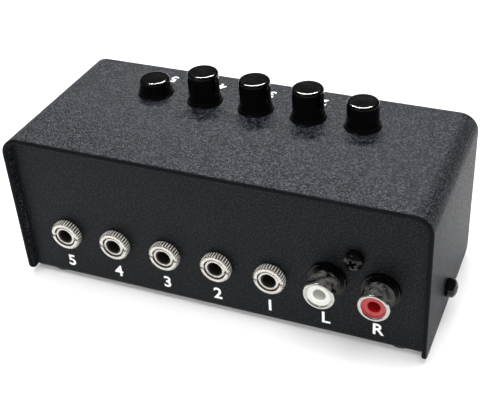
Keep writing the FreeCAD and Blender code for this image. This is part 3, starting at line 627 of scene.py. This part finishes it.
def piece(name, bm, slot, body, *replaced, smooth=35.0):
    """A finished piece: its mesh in place, its finish, the body it rides on and the nodes it stands for."""
    thing = loose_object(name, bm)
    thing.data.materials.append(finish_named(slot, bpy.context.scene.selector_colours))
    for polygon in thing.data.polygons:
        polygon.use_smooth = True
    thing.data.set_sharp_from_angle(angle=math.radians(smooth))
    if replaced:
        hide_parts(*replaced)
    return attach(thing, body)


def at_mount(name):
    """Where one of the record's mounts lies."""
    return Vector(MOUNTS[name]["pos_m"])


def on_panel(name):
    """Turns a shape made along +Z to stand out of the panel at a mount's axis."""
    place = at_mount(name)
    return Matrix.Translation((place.x, PANEL_Y, place.z)) @ OUT_OF_PANEL


def button_x(number):
    """How far along the row a button's axis lies."""
    return sum(corner.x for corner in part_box(f"button_{number}_cap")) / 2


class SELECTOR_OT_cover(bpy.types.Operator):
    """Folded cover: top and two sides of one sheet, with coated raw edges and its holes"""
    bl_idname = "selector.cover"
    bl_label = "Cover"

    def execute(self, context):
        sizes = context.scene.selector_sheet
        sheet = self.with_raw_edges(self.folded(sizes), sizes)
        through_sheet, through_both_sides = 3 * MM, 70 * MM
        for number in BUTTONS:
            hole = rod(sizes.collar_hole, through_sheet, 64)
            sheet = cut(sheet, moved(hole, Matrix.Translation((button_x(number), BUTTON_Y, COVER_HIGH.z))))
        low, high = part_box("cover_screws")
        place = Matrix.Translation((0, (low.y + high.y) / 2, (low.z + high.z) / 2)) @ OUT_OF_RIGHT
        sheet = cut(sheet, moved(rod(sizes.screw_hole, through_both_sides, 48), place))
        piece("cover_sheet", sheet, "cover_coat", "box", "cover")
        return {"FINISHED"}

    def folded(self, sizes):
        """One side and one bend along the sheet's middle, mirrored, joined by the top, drawn out and thickened."""
        inset = sizes.thickness / 2
        side_x, bend_z = COVER_HIGH.x - inset, COVER_HIGH.z - sizes.bend
        bm = bmesh.new()
        foot = bm.verts.new((side_x, COVER_LOW.y, COVER_LOW.z))
        bend_start = bm.verts.new((side_x, COVER_LOW.y, bend_z))
        bm.edges.new((foot, bend_start))
        bmesh.ops.spin(
            bm, geom=[bend_start], cent=(side_x - sizes.bend + inset, 0, bend_z), axis=(0, -1, 0),
            angle=math.radians(90), steps=sizes.bend_steps)
        bmesh.ops.mirror(bm, geom=list(bm.verts) + list(bm.edges), axis="X", merge_dist=0.0)
        tops = sorted((v for v in bm.verts if v.co.z > COVER_HIGH.z - inset - 0.01 * MM), key=lambda v: v.co.x)
        bm.edges.new((tops[0], tops[-1]))
        row = bmesh.ops.extrude_edge_only(bm, edges=list(bm.edges))["geom"]
        bmesh.ops.translate(
            bm, vec=(0, COVER_HIGH.y - COVER_LOW.y, 0), verts=[v for v in row if isinstance(v, bmesh.types.BMVert)])
        bmesh.ops.recalc_face_normals(bm, faces=bm.faces)
        return closed(with_modifiers(bm, ("SOLIDIFY", {
            "thickness": sizes.thickness, "offset": 0.0, "use_even_offset": True})))

    def with_raw_edges(self, sheet, sizes):
        """The sheet with the lower corners of its sides rounded, and its raw edges softened by the coating."""
        spare = 1 * MM
        bar = block(
            (COVER_LOW.x - spare, COVER_LOW.y, COVER_LOW.z),
            (COVER_HIGH.x + spare, COVER_HIGH.y, COVER_HIGH.z + spare))
        half_way, long_edge = 10 * MM, 10 * MM
        lower = [
            edge for edge in bar.edges if all(v.co.z < half_way for v in edge.verts)
            and abs(edge.verts[0].co.x - edge.verts[1].co.x) > long_edge]
        bmesh.ops.bevel(
            bar, geom=lower, offset=sizes.foot_corner, segments=8, affect="EDGES", profile=0.5, material=-1)
        sheet = closed(cut(sheet, bar, "INTERSECT"))
        bmesh.ops.dissolve_limit(
            sheet, angle_limit=math.radians(0.5), verts=sheet.verts, edges=sheet.edges, delimit=set())
        raw = [edge for edge in sheet.edges if edge.calc_face_angle(0) > math.radians(60)]
        bmesh.ops.bevel(
            sheet, geom=raw, offset=sizes.edge, segments=4, affect="EDGES", profile=0.5, material=-1)
        return closed(sheet)


class SELECTOR_OT_collars(bpy.types.Operator):
    """Glossy black collars pressed into the top, one round each button"""
    bl_idname = "selector.collars"
    bl_label = "Collars"

    def execute(self, context):
        sizes = context.scene.selector_button
        tube = sizes.collar_bore + 0.3 * MM
        snap = tube + 0.3 * MM
        under = -1.25 * MM
        end = under - 0.6 * MM
        foot = sizes.collar_foot
        flare = [
            (foot, 0.0), (foot, 0.08 * MM), (foot - 0.03 * MM, 0.14 * MM), (foot - 0.09 * MM, 0.18 * MM),
            (foot - 0.19 * MM, 0.22 * MM), (foot - 0.27 * MM, 0.30 * MM), (foot - 0.31 * MM, 0.44 * MM),
            (foot - 0.33 * MM, 0.80 * MM),
        ]
        profile = flare + [
            (sizes.collar_lip, sizes.collar_height - 0.06 * MM),
            (sizes.collar_lip - 0.04 * MM, sizes.collar_height),
            (sizes.collar_bore + 0.03 * MM, sizes.collar_height),
            (sizes.collar_bore, sizes.collar_height - 0.05 * MM),
            (sizes.collar_bore, end), (tube, end), (snap, under), (tube, under), (tube, 0.0),
        ]
        ring = turned(profile, 96, ring=True)
        rings = [
            copy_of(ring, Matrix.Translation((button_x(number), BUTTON_Y, COVER_HIGH.z))) for number in BUTTONS]
        ring.free()
        piece("collar_rings", joined(*rings), "collar_black", "box", "button_collars")
        return {"FINISHED"}


class SELECTOR_OT_caps(bpy.types.Operator):
    """Round push button caps with a drafted side, a rounded rim, a dished top and a square socket"""
    bl_idname = "selector.caps"
    bl_label = "Caps"

    def execute(self, context):
        sizes = context.scene.selector_button
        post = 3.46 * MM
        roof = sizes.length - sizes.wall
        dish = sizes.length - sizes.dish
        outside = rounded([
            (0.0, dish), (1.4 * MM, dish + 0.026 * MM), (2.6 * MM, dish + 0.088 * MM), (sizes.top, sizes.length),
            (sizes.foot, 0.0),
        ], 3, sizes.rim, 8)
        inside = [
            (sizes.foot - sizes.wall * 0.7, 0.0), (sizes.top - sizes.wall * 0.45, roof), (post, roof), (post, 0.0),
            (0.0, 0.0),
        ]
        half, depth = 1.6 * MM, 7 * MM
        cap = cut(turned(outside + inside, 96), block((-half, -half, -1 * MM), (half, half, depth)))
        for number in BUTTONS:
            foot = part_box(f"button_{number}_cap")[0].z
            made = copy_of(cap, Matrix.Translation((button_x(number), BUTTON_Y, foot)))
            piece(f"cap_{number}", made, "cap_black", f"button_{number}", f"button_{number}_cap")
        cap.free()
        return {"FINISHED"}


class SELECTOR_OT_jack_nuts(bpy.types.Operator):
    """Round nickel nuts with straight ribs, chamfered ends and two spanner slots"""
    bl_idname = "selector.jack_nuts"
    bl_label = "Jack nuts"

    def execute(self, context):
        sizes = context.scene.selector_jack
        bore = sizes.sleeve + 0.05 * MM
        inner_edge = 0.15 * MM
        points_a_rib, in_groove = 4, (2, 3)
        count = sizes.ribs * points_a_rib
        end = sizes.nut_radius - sizes.nut_edge
        top = sizes.nut_thickness
        bm = turned([
            (end, 0.0), (sizes.nut_radius, sizes.nut_edge), (sizes.nut_radius, top - sizes.nut_edge), (end, top),
            (bore + inner_edge, top), (bore, top - inner_edge), (bore, 0.0),
        ], count, ring=True)
        share_at_ends = 0.4
        for v in bm.verts:
            radius = v.co.xy.length
            point = round(math.atan2(v.co.y, v.co.x) * count / math.tau) % points_a_rib
            if radius > end - 0.01 * MM and point in in_groove:
                share = 1.0 if radius > end + 0.01 * MM else share_at_ends
                v.co.xy *= 1.0 - share * sizes.rib_depth / radius
        slot = block(
            (-5 * MM, -sizes.slot_width / 2, top - sizes.slot_depth),
            (5 * MM, sizes.slot_width / 2, top + 1 * MM))
        nut = softened(cut(bm, slot), 0.05 * MM, 2)
        nuts = [copy_of(nut, on_panel(f"jack_{number}")) for number in JACKS]
        nut.free()
        piece("ribbed_nuts", joined(*nuts), "nickel", "box", "jack_nuts", smooth=28.0)
        return {"FINISHED"}


class SELECTOR_OT_jack_sleeves(bpy.types.Operator):
    """Threaded nickel sleeves with a rounded end and a stepped mouth, each with its solder pin"""
    bl_idname = "selector.jack_sleeves"
    bl_label = "Jack sleeves"

    def execute(self, context):
        sizes = context.scene.selector_jack
        back = -SHEET - 4.0 * MM
        pitch = 0.5 * MM
        groove = 0.14 * MM
        thread = []
        height = back + 0.6 * MM
        while height < sizes.reach - 0.5 * MM:
            thread += [(sizes.sleeve, height), (sizes.sleeve - groove, height + pitch / 2)]
            height += pitch
        end = 2.65 * MM
        profile = [(sizes.sleeve - 0.3 * MM, back), (sizes.sleeve, back + 0.3 * MM)] + thread
        profile += [
            (sizes.sleeve, sizes.reach - 0.3 * MM), (end + 0.06 * MM, sizes.reach - 0.05 * MM),
            (end - 0.04 * MM, sizes.reach), (sizes.mouth + 0.06 * MM, sizes.reach),
            (sizes.mouth, sizes.reach - 0.06 * MM), (sizes.bore + 0.03 * MM, sizes.reach - 0.38 * MM),
            (sizes.bore, sizes.reach - 0.42 * MM), (sizes.bore, back),
        ]
        sleeve = turned(profile, 72, ring=True)
        for number in JACKS:
            place = at_mount(f"jack_{number}")
            pin = solder_pin(
                place.x, PANEL_IN_Y + 1.6 * MM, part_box(f"jack_{number}_sleeve")[0].z, place.z - 2.4 * MM)
            made = joined(copy_of(sleeve, on_panel(f"jack_{number}")), pin)
            piece(f"sleeve_{number}", made, "nickel", "box", f"jack_{number}_sleeve")
        sleeve.free()
        return {"FINISHED"}


class SELECTOR_OT_phono_shells(bpy.types.Operator):
    """Chromed phono shells with a rolled rim, each with its ground pin"""
    bl_idname = "selector.phono_shells"
    bl_label = "Phono shells"

    def execute(self, context):
        sizes = context.scene.selector_phono
        inner = sizes.shell - sizes.wall
        root = 3.85 * MM
        lip = inner - sizes.roll
        back = -SHEET - 6.0 * MM
        shoulder = 2.3 * MM
        profile = [
            (inner, back), (root, back), (root, shoulder), (sizes.shell, shoulder),
            (sizes.shell, sizes.reach), (lip, sizes.reach),
            (lip, sizes.reach - sizes.setback), (inner, sizes.reach - sizes.setback),
        ]
        profile = rounded(profile, 5, sizes.rim, 8)
        profile = rounded(profile, 4, sizes.rim * 1.4, 8)
        shell = turned(profile, 96, ring=True)
        for side in SIDES:
            place = at_mount(f"phono_{side}_shell")
            pin = solder_pin(
                place.x, PANEL_IN_Y + 5.4 * MM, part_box(f"phono_shell_{side}")[0].z, place.z - 3.6 * MM)
            made = joined(copy_of(shell, on_panel(f"phono_{side}_shell")), pin)
            piece(f"shell_{side}", made, "chrome", "box", f"phono_shell_{side}")
        shell.free()
        return {"FINISHED"}


class SELECTOR_OT_phono_inserts(bpy.types.Operator):
    """White and red bushes with a dished face and a hole for a plug's pin"""
    bl_idname = "selector.phono_inserts"
    bl_label = "Phono inserts"

    def execute(self, context):
        sizes = context.scene.selector_phono
        outer = sizes.shell - sizes.wall
        front = sizes.reach - sizes.setback
        back = -SHEET - 8.0 * MM
        contact = sizes.pin_bore + 0.35 * MM
        floor = front - sizes.dish_depth
        profile = [
            (contact, back), (outer, back), (outer, front), (sizes.dish, front),
            (sizes.dish - 0.12 * MM, floor), (sizes.pin_bore + 0.12 * MM, floor - 0.04 * MM),
            (sizes.pin_bore, floor - 0.14 * MM), (sizes.pin_bore, 0.0), (contact, 0.0),
        ]
        profile = rounded(profile, 4, 0.08 * MM, 4)
        profile = rounded(profile, 3, 0.06 * MM, 3)
        bush = turned(profile, 80, ring=True)
        for side, colour in zip(SIDES, ("white", "red")):
            made = copy_of(bush, on_panel(f"phono_{side}_shell"))
            piece(f"bush_{colour}", made, f"insert_{colour}", "box", f"phono_insert_{colour}")
        bush.free()
        return {"FINISHED"}


def screw_along_z(shank):
    """A pan head screw with a tapered cross recess: the head above z = 0 and the shank below it."""
    head, height = 2.55 * MM, 3.0 * MM
    crest, root, tip, pitch = 1.45 * MM, 1.28 * MM, 1.2 * MM, 0.5 * MM
    profile = [
        (0.0, height), (0.9 * MM, height - 0.09 * MM), (1.6 * MM, height - 0.31 * MM),
        (2.1 * MM, height - 0.60 * MM), (2.4 * MM, height - 0.88 * MM), (head, height - 1.2 * MM),
        (head, 0.12 * MM), (head - 0.1 * MM, 0.0), (crest, 0.0),
    ]
    depth = 0.6 * MM
    while depth < shank - 0.3 * MM:
        profile += [(crest, -depth), (root, -depth - pitch / 2)]
        depth += pitch
    profile += [(tip, -shank), (0.0, -shank)]
    screw = turned(profile, 72)
    arm_reach, arm_half, recess_depth, above = 1.75 * MM, 0.42 * MM, 1.6 * MM, 1 * MM
    for quarter in (0, 1):
        arm = block((-arm_reach, -arm_half, -recess_depth), (arm_reach, arm_half, above))
        for v in arm.verts:
            if v.co.z < 0:
                v.co.x *= 0.4
                v.co.y *= 0.7
        turn = Matrix.Rotation(math.radians(90 * quarter), 4, "Z")
        screw = cut(screw, moved(arm, Matrix.Translation((0, 0, height)) @ turn))
    return softened(screw, 0.04 * MM, 2)


class SELECTOR_OT_screws(bpy.types.Operator):
    """Black pan head screws: one between the phono sockets and one in each side of the cover"""
    bl_idname = "selector.screws"
    bl_label = "Black screws"

    def execute(self, context):
        low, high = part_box("phono_screw")
        screw = screw_along_z(high.y - PANEL_Y)
        turn, right_turn, left_turn = (Matrix.Rotation(math.radians(angle), 4, "Z") for angle in (22, 38, -14))
        place = Matrix.Translation(((low.x + high.x) / 2, PANEL_Y, (low.z + high.z) / 2)) @ OUT_OF_PANEL
        piece("phono_pan_screw", moved(screw, place @ turn), "black_screw", "box", "phono_screw")
        low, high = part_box("cover_screws")
        centre = (low + high) / 2
        screw = screw_along_z(5.0 * MM)
        right = Matrix.Translation((COVER_HIGH.x, centre.y, centre.z)) @ OUT_OF_RIGHT
        left = Matrix.Translation((COVER_LOW.x, centre.y, centre.z)) @ OUT_OF_LEFT
        pair = joined(copy_of(screw, right @ right_turn), copy_of(screw, left @ left_turn))
        screw.free()
        piece("cover_pan_screws", pair, "black_screw", "box", "cover_screws")
        return {"FINISHED"}


class SELECTOR_OT_feet(bpy.types.Operator):
    """Thin stick-on rubber feet"""
    bl_idname = "selector.feet"
    bl_label = "Feet"

    def execute(self, context):
        low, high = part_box("feet")
        radius, lower_edge = 4.0 * MM, 0.4 * MM
        profile = rounded([(0.0, high.z), (radius, high.z), (radius, 0.0), (0.0, 0.0)], 2, lower_edge, 4)
        foot = turned(profile, 64)
        feet = [
            copy_of(foot, Matrix.Translation((x, y, 0)))
            for x in (low.x + radius, high.x - radius) for y in (low.y + radius, high.y - radius)]
        foot.free()
        piece("rubber_feet", joined(*feet), "foot_rubber", "box", "feet")
        return {"FINISHED"}


def lettering(text, height, matrix, thick=0.02 * MM):
    """Flat printed characters as a closed mesh, centred on the matrix's origin."""
    capital_share, boldness = 0.69, 0.032
    curve = bpy.data.curves.new("print", "FONT")
    curve.body = text
    curve.size = height / capital_share
    curve.align_x = "CENTER"
    curve.align_y = "CENTER"
    curve.extrude = thick
    curve.offset = boldness * height
    curve.resolution_u = 6
    thing = bpy.data.objects.new("print", curve)
    bpy.context.scene.collection.objects.link(thing)
    graph = bpy.context.evaluated_depsgraph_get()
    bm = bmesh.new()
    bm.from_mesh(thing.evaluated_get(graph).to_mesh())
    bpy.data.objects.remove(thing)
    return moved(closed(bm), matrix)


class SELECTOR_OT_print(bpy.types.Operator):
    """White printed numbers under the jacks and behind the buttons, and the letters of the phono pair"""
    bl_idname = "selector.print"
    bl_label = "Print"

    def execute(self, context):
        height, number_z, letter_z = 3.5 * MM, 6.1 * MM, 6.2 * MM
        marks = [(str(number), at_mount(f"jack_{number}").x - 0.75 * MM, number_z) for number in JACKS]
        marks += [
            (text, at_mount(f"phono_{side}_shell").x - 0.8 * MM, letter_z) for side, text in zip(SIDES, "LR")]
        panel = [
            lettering(text, height, Matrix.Translation((x, PANEL_Y, z)) @ OUT_OF_PANEL) for text, x, z in marks]
        piece("panel_numbers", joined(*panel), "print_white", "box")
        height, shift_x, number_y = 3.0 * MM, 1.3 * MM, 21.3 * MM
        turn = Matrix.Rotation(math.radians(180), 4, "Z")
        top = [
            lettering(str(number), height, Matrix.Translation(
                (button_x(number) + shift_x, number_y, COVER_HIGH.z)) @ turn)
            for number in BUTTONS]
        piece("top_numbers", joined(*top), "print_white", "box")
        return {"FINISHED"}


class SELECTOR_OT_inner_finishes(bpy.types.Operator):
    """Finishes of the pieces that keep their CAD shape"""
    bl_idname = "selector.inner_finishes"
    bl_label = "Inner finishes"

    def execute(self, context):
        for name, thing in frame["nodes"].items():
            material = finish_named(SLOTS[name], context.scene.selector_colours)
            if not thing.material_slots:
                thing.data.materials.append(material)
            for holder in thing.material_slots:
                holder.material = material
        return {"FINISHED"}


class SELECTOR_OT_stage(bpy.types.Operator):
    """Pale floor, soft studio light and the camera at the photograph's view"""
    bl_idname = "selector.stage"
    bl_label = "Stage"

    def execute(self, context):
        bm = bmesh.new()
        bmesh.ops.create_grid(bm, x_segments=4, y_segments=4, size=3.0)
        floor = loose_object("pale_floor", bm)
        paper = Finish("pale_paper")
        paper.set(
            Base_Color=paper.blend(paper.noise(60 * MM), (0.93, 0.93, 0.93), (0.95, 0.95, 0.95)),
            Roughness=0.9)
        floor.data.materials.append(paper.material)
        self.add_light("overhead_softbox", (0.0, 0.0, 2.2), size=(2.5, 2.5), power=88.0, mirrored=False)
        self.add_light("front_softbox", (0.3, -1.6, 1.0), size=(1.2, 0.8), power=22.0, mirrored=False)
        self.add_light("back_softbox", (-0.38, 1.05, 1.35), size=(0.8, 0.17), power=165.0, lit=False)
        self.add_light("left_strip", (-0.55, -0.90, 1.10), size=(0.5, 0.06), power=2.0, lit=False)
        context.scene.view_settings.view_transform = "Standard"
        world = bpy.data.worlds.new("studio_air")
        context.scene.world = world
        world.use_nodes = True
        air = world.node_tree.nodes["Background"]
        air.inputs["Color"].default_value = (1.0, 1.0, 1.0, 1.0)
        air.inputs["Strength"].default_value = 0.07
        self.add_camera(context)
        return {"FINISHED"}

    def add_light(self, name, place, size, power, mirrored=True, lit=True):
        """A softbox aimed at the box; it may be kept out of reflections, or be there for them alone."""
        box_middle = Vector((0, 0, 25 * MM))
        lamp = bpy.data.lights.new(name, "AREA")
        lamp.shape = "RECTANGLE"
        lamp.size, lamp.size_y = size
        lamp.energy = power
        thing = bpy.data.objects.new(name, lamp)
        thing.location = place
        thing.visible_glossy = mirrored
        thing.visible_diffuse = lit
        thing.rotation_euler = (box_middle - Vector(place)).to_track_quat("-Z", "Y").to_euler()
        bpy.context.scene.collection.objects.link(thing)

    def add_camera(self, context):
        """The fitted camera, with the shift that the picture's framing needs."""
        azimuth, elevation, roll = (math.radians(angle) for angle in CAMERA_ANGLES)
        back = Vector((
            math.sin(azimuth) * math.cos(elevation), -math.cos(azimuth) * math.cos(elevation),
            math.sin(elevation)))
        right = (-back).cross(Vector((0, 0, 1))).normalized()
        up = right.cross(-back)
        rolled = right * math.cos(roll) + up * math.sin(roll)
        upright = up * math.cos(roll) - right * math.sin(roll)
        lens = bpy.data.cameras.new("studio_camera")
        lens.sensor_width = SENSOR_WIDTH
        lens.lens = FOCAL_PIXELS / PICTURE_WIDTH * SENSOR_WIDTH
        lens.shift_x = (PICTURE_WIDTH / 2 - CENTRE_PIXEL[0]) / PICTURE_WIDTH
        lens.shift_y = (CENTRE_PIXEL[1] - PICTURE_HEIGHT / 2) / PICTURE_WIDTH
        lens.clip_start = 0.01
        camera = bpy.data.objects.new("studio_camera", lens)
        turn = Matrix((rolled, upright, back)).transposed().to_4x4()
        camera.matrix_world = Matrix.Translation(CAMERA_PLACE) @ turn
        context.scene.collection.objects.link(camera)
        context.scene.camera = camera


PIECES = (
    SELECTOR_OT_cover, SELECTOR_OT_collars, SELECTOR_OT_caps, SELECTOR_OT_jack_nuts, SELECTOR_OT_jack_sleeves,
    SELECTOR_OT_phono_shells, SELECTOR_OT_phono_inserts, SELECTOR_OT_screws, SELECTOR_OT_feet, SELECTOR_OT_print,
    SELECTOR_OT_inner_finishes, SELECTOR_OT_stage,
)


class SELECTOR_PT_sidebar(bpy.types.Panel):
    """Lists the selector box's pieces and sizes"""
    bl_idname = "SELECTOR_PT_sidebar"
    bl_label = "Audio Selector Box"
    bl_space_type = "VIEW_3D"
    bl_region_type = "UI"
    bl_category = "Selector"

    def draw(self, context):
        for operator in PIECES:
            self.layout.operator(operator.bl_idname)
        for name in GROUPS:
            group = getattr(context.scene, name)
            box = self.layout.box()
            for key in group.bl_rna.properties.keys():
                if key not in ("rna_type", "name"):
                    box.prop(group, key)


GROUPS = {
    "selector_sheet": SelectorSheetSizes,
    "selector_button": SelectorButtonSizes,
    "selector_jack": SelectorJackSizes,
    "selector_phono": SelectorPhonoSizes,
    "selector_colours": SelectorColours,
}
CLASSES = (*GROUPS.values(), *PIECES, SELECTOR_PT_sidebar)


def register():
    for cls in CLASSES:
        bpy.utils.register_class(cls)
    for name, group in GROUPS.items():
        setattr(bpy.types.Scene, name, PointerProperty(type=group))


def unregister():
    for name in GROUPS:
        delattr(bpy.types.Scene, name)
    for cls in reversed(CLASSES):
        bpy.utils.unregister_class(cls)


def main():
    register()
    for operator in PIECES:
        family, name = operator.bl_idname.split(".")
        getattr(getattr(bpy.ops, family), name)()
    bpy.context.view_layer.update()


if __name__ == "__main__":
    main()
